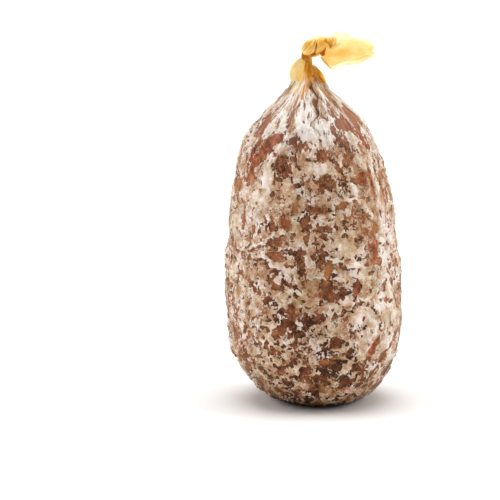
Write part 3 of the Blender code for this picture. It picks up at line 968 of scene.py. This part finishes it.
# Each strand's name, pitch, step, how deep its amber is, its furrows, and its line.
STRANDS = (
    ("twisted_neck", 5, 0.35, 0.78, 0.04, (
        (-3.2, 0, 140.2, 2, 2), (-3.4, 0, 142.4, 2, 2), (-2.9, 0.1, 144.6, 1.9, 2), (-1, 0.2, 145.6, 1.9, 2),
        (1.4, 0.2, 147.2, 2.1, 2), (4.2, 0.2, 148.6, 1.9, 1.8),
    )),
    ("bean_fold_back", 30, 0.25, 0.12, 0.04, (
        (-5, -0.6, 144.6, 0.7, 1), (-4.4, -1.2, 146.4, 1.1, 1.3), (-3, -1.3, 148.1, 1.2, 1.4),
        (-0.7, -0.8, 149.6, 0.9, 1.2),
    )),
    ("bean_fold_front", 30, 0.30, 0.15, 0.04, (
        (-4.9, -0.8, 144.3, 0.7, 0.9), (-3.3, -1.8, 144.9, 1.2, 1.2), (-1.6, -2, 146.4, 1.35, 1.3),
        (-0.4, -1.3, 148.6, 1, 1.1), (0.2, -0.8, 149.8, 0.6, 0.9),
    )),
    ("wrap", 11, 0.34, 0.42, 0.04, (
        (-1.3, -0.5, 144.6, 0.8, 1.2), (-0.1, -0.8, 145.7, 1.6, 1.8), (1.7, -0.9, 147.3, 2.1, 2.1),
        (3.2, -0.6, 149.1, 1.8, 1.8), (4.3, 0, 150.4, 0.9, 1.2),
    )),
    ("under_fold", 16, 0.25, 0.56, 0.04, (
        (-4.5, -0.2, 143.9, 0.8, 1.4), (-2, -0.4, 143.6, 0.9, 1.6), (0.5, -0.3, 143.9, 0.9, 1.6),
        (2, -0.1, 145, 0.9, 1.4),
    )),
    ("knot_turn", 12, 0.18, 0.44, 0.04, (
        (5, -0.9, 150.6, 1.1, 1), (5.3, -1.7, 149.2, 1.5, 1.2), (5.7, -1.9, 147.6, 1.5, 1.2),
        (5.9, -1.2, 146.2, 0.9, 1),
    )),
    ("knot_end", 9, 0.12, 0.24, 0.04, (
        (7.4, -0.4, 151, 0.8, 1), (7.9, -1.2, 149.2, 1, 1.1), (7.5, -1.3, 147.4, 0.9, 1),
        (6.7, -0.8, 146.4, 0.5, 0.8),
    )),
    ("knot_behind", 9, 0.20, 0.40, 0.04, (
        (3.9, 0.8, 149.6, 1.2, 1.2), (5.2, 1.6, 148.6, 1.5, 1.1), (6.3, 1.3, 147.4, 1.2, 1),
    )),
    # inner_turn, a turn of gut deep in the knot, has the darkest amber: painted shade in the gap under the
    # roll.
    ("inner_turn", 6, 0.15, 1, 0.04, (
        (3.6, 0.3, 147.4, 1.1, 1.3), (3.3, 0.2, 145.7, 1.3, 1.2), (3.2, 0.3, 144.2, 1, 1),
        (3.8, 0.5, 143.2, 0.6, 0.8),
    )),
    # tail_fold_rim, the rolled edge of the front layer, has the palest amber: a painted highlight along the
    # fold.
    ("tail_fold_rim", 20, 0.08, 0.02, 0.04, (
        (4.9, -1.4, 145.8, 0.30, 0.35), (6.6, -1.8, 146.6, 0.45, 0.40), (8.6, -1.7, 147.5, 0.42, 0.40),
        (10.6, -1.4, 148.6, 0.25, 0.25),
    )),
    ("tail_edge_rim", 20, 0.04, 0.20, 0.04, (
        (2.3, -0.6, 142.8, 0.20, 0.25), (3.5, -1.1, 141.4, 0.30, 0.40), (5, -1.1, 139.8, 0.30, 0.40),
        (7, -0.7, 137.5, 0.18, 0.25),
    )),
    ("outer_pleat", 60, 0.05, 0.06, 0.06, (
        (-5, 0, 142.4, 0.6, 0.9), (-6.3, -0.2, 140.6, 1.4, 1.3), (-7.5, -0.3, 138.3, 2.1, 1.7),
        (-7.9, -0.4, 136, 2.4, 2), (-7.8, -0.2, 133.6, 2.3, 2.1), (-7, 0.3, 131.2, 2, 1.8),
    )),
    ("second_pleat", 50, 0.05, 0.08, 0.05, (
        (-4.6, -0.9, 142.2, 0.5, 0.6), (-5.4, -1.2, 140.2, 1, 0.7), (-6.1, -1.6, 137.6, 1.4, 0.8),
        (-6.5, -1.9, 135, 1.5, 0.9), (-6.2, -1.4, 132, 1.3, 0.9),
    )),
    ("third_pleat", 50, 0.06, 0.18, 0.05, (
        (-4, -1.2, 141.6, 0.6, 0.6), (-4.4, -1.6, 139.4, 1, 0.8), (-4.8, -2.1, 136.8, 1.3, 0.9),
        (-5, -2.7, 134, 1.2, 0.9), (-4.8, -2.5, 131.4, 0.9, 0.8),
    )),
    ("front_pleat", 50, 0.10, 0.66, 0.06, (
        (-3.1, -1.6, 141.2, 0.6, 0.5), (-3.1, -2.3, 138.4, 0.9, 0.7), (-2.9, -3.2, 135.6, 1.1, 0.8),
        (-2.7, -3.8, 132.8, 0.9, 0.7),
    )),
    ("right_ridge", 40, 0.20, 0.45, 0.04, (
        (-1, -0.8, 139.4, 0.5, 0.8), (0.1, -1.1, 138, 1, 1.1), (1.6, -1.1, 135.9, 1.2, 1.2),
        (3.2, -0.9, 133.4, 1.1, 1.1), (4.7, -0.7, 130.9, 0.6, 0.8),
    )),
)
for row in STRANDS:
    strand(*row)

# ---------------------------------------------------------------------------------------------
# The tail: the last length of empty gut, pressed flat, so that it is two thin sheets. They have
# dried into stiff, see-through yellow film, torn along the top and the far end.
# ---------------------------------------------------------------------------------------------
SHEET_ALONG = 130
SHEET_ACROSS = 100

FLAT_GUT = (
    (0.0, (1.0, 0.97, 0.68)),
    (0.35, (0.99, 0.79, 0.40)),
    (0.70, (0.97, 0.67, 0.21)),
    (1.0, (0.86, 0.42, 0.07)),
)
film_gut, surface = gut_material(
    "see_through_gut", 1.2, (2.6, 4.0, 0.6, 10.0), FLAT_GUT, 0.8, (0.38, 0.55), 0.2
)
surface.inputs["Transmission Weight"].default_value = 0.85
surface.inputs["IOR"].default_value = 1.05

# Lines across the tail, from the knot to its far end: the upper and the lower edge, as (x, z).
WHOLE_TAIL = (
    ((5.6, 150.6), (2.3, 142.4)), ((8, 152.6), (4.6, 139.9)), ((11.7, 152.8), (7, 137.4)),
    ((15.6, 151.3), (12.4, 139.4)), ((20.4, 149.6), (17.6, 139.8)), ((23.2, 148.2), (21.9, 141.9)),
    ((24.4, 147), (24.1, 143)),
)
FRONT_LAYER = (
    ((5, 145.8), (2.5, 142.7)), ((8.2, 147.4), (4.9, 140.4)), ((12.2, 149.7), (7.6, 139)),
    ((16.2, 150.3), (12.4, 140.9)), ((20, 149.2), (17.6, 141.6)), ((22.8, 147.9), (21.8, 142.9)),
    ((24, 147), (23.8, 144.2)),
)
TOP_FOLD = (
    ((-2.4, 149.6), (-1.6, 148.8)), ((-0.4, 151), (-0.2, 149.2)), ((2.2, 151.6), (1.8, 149.6)),
    ((4.4, 150.7), (3.8, 149.2)), ((5.4, 149.9), (5, 149)),
)


def sheet(name, lines, stands_at, ragged, seed, amber, thickness):
    """A thin sheet between the lines' edges, standing off in depth by stands_at millimetres, with
    folds that fan out from the knot and an edge as ragged as asked."""
    deselect_all()
    bpy.ops.mesh.primitive_grid_add(x_subdivisions=SHEET_ALONG, y_subdivisions=SHEET_ACROSS, size=2.0)
    made = name_piece(name)
    along, up = (points_of(made.data)[:, :2].T + 1.0) / 2.0
    seeds = np.full(len(up), seed)
    upper = curve_through([top for top, bottom in lines], along)
    bottoms = np.array([bottom for top, bottom in lines])
    line_places = np.linspace(0.0, 1.0, len(lines))
    lower = np.stack([np.interp(along, line_places, axis) for axis in bottoms.T], axis=1)
    spot = np.stack((along * 20.0, up * 12.0, seeds), axis=1)
    edge_noise = clouds(spot * (1.0, 0.2, 1.0), 2.0, 3)
    far_noise = clouds(spot * (0.2, 1.0, 1.0) + 50.0, 2.0, 3)
    torn_up = ragged * 0.16 * edge_noise * smooth_step(0.75, 1.0, up)
    torn_up += 0.02 * edge_noise * smooth_step(0.2, 0.0, up)
    x, z = (lower + (upper - lower) * (up + torn_up)[:, None]).T
    x += ragged * 1.6 * far_noise * smooth_step(0.8, 1.0, along)
    fan = np.stack((up * 9.0, along * 2.0, seeds), axis=1)
    depth = stands_at * smooth_step(0.0, 0.3, along) * np.sin(math.pi * np.clip(up, 0.0, 1.0)) ** 0.6
    depth += 1.7 * clouds(fan, 3.0, 3) * smooth_step(0.0, 0.25, along)
    depth += 0.9 * np.sin(2.2 * along * math.pi + 1.5 * up) * along
    put(made.data, np.stack((x, depth, z), axis=1) * MM)
    keep_on(made.data, "pattern_place", np.stack((x * 0.75, z, seeds), axis=1))
    root = np.exp(-along / 0.12)
    rim = np.exp(-(1.0 - up) / 0.12) + 0.5 * np.exp(-(1.0 - along) / 0.06)
    # The pale lines along the folds that fan out from the knot are painted highlights.
    painted_fold_highlight = bell(clouds(fan, 3.0, 3), 0.05)
    blotch = bell(x - 11.0, 4.5) * bell(z - 144.2, 1.7) + 0.6 * bell(x - 18.6, 1.6) * bell(z - 144.8, 1.5)
    keep_on(made.data, "amber", amber + 0.30 * root - 0.30 * rim - 0.12 * painted_fold_highlight + 0.25 * blotch)
    thick = made.modifiers.new("thickness", "SOLIDIFY")
    thick.thickness = thickness * MM
    thick.offset = 0.0
    bpy.ops.object.modifier_apply(modifier="thickness")
    bpy.ops.object.shade_smooth()
    made.data.materials.append(film_gut)
    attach(made, "root")
    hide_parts("sausage")


sheet("tail_back", WHOLE_TAIL, 0.7, 1.0, 3.0, 0.27, 0.22)
sheet("tail_front", FRONT_LAYER, -0.9, 0.5, 8.0, 0.18, 0.10)
sheet("top_fold", TOP_FOLD, 0.3, 0.6, 14.0, 0.0, 0.22)
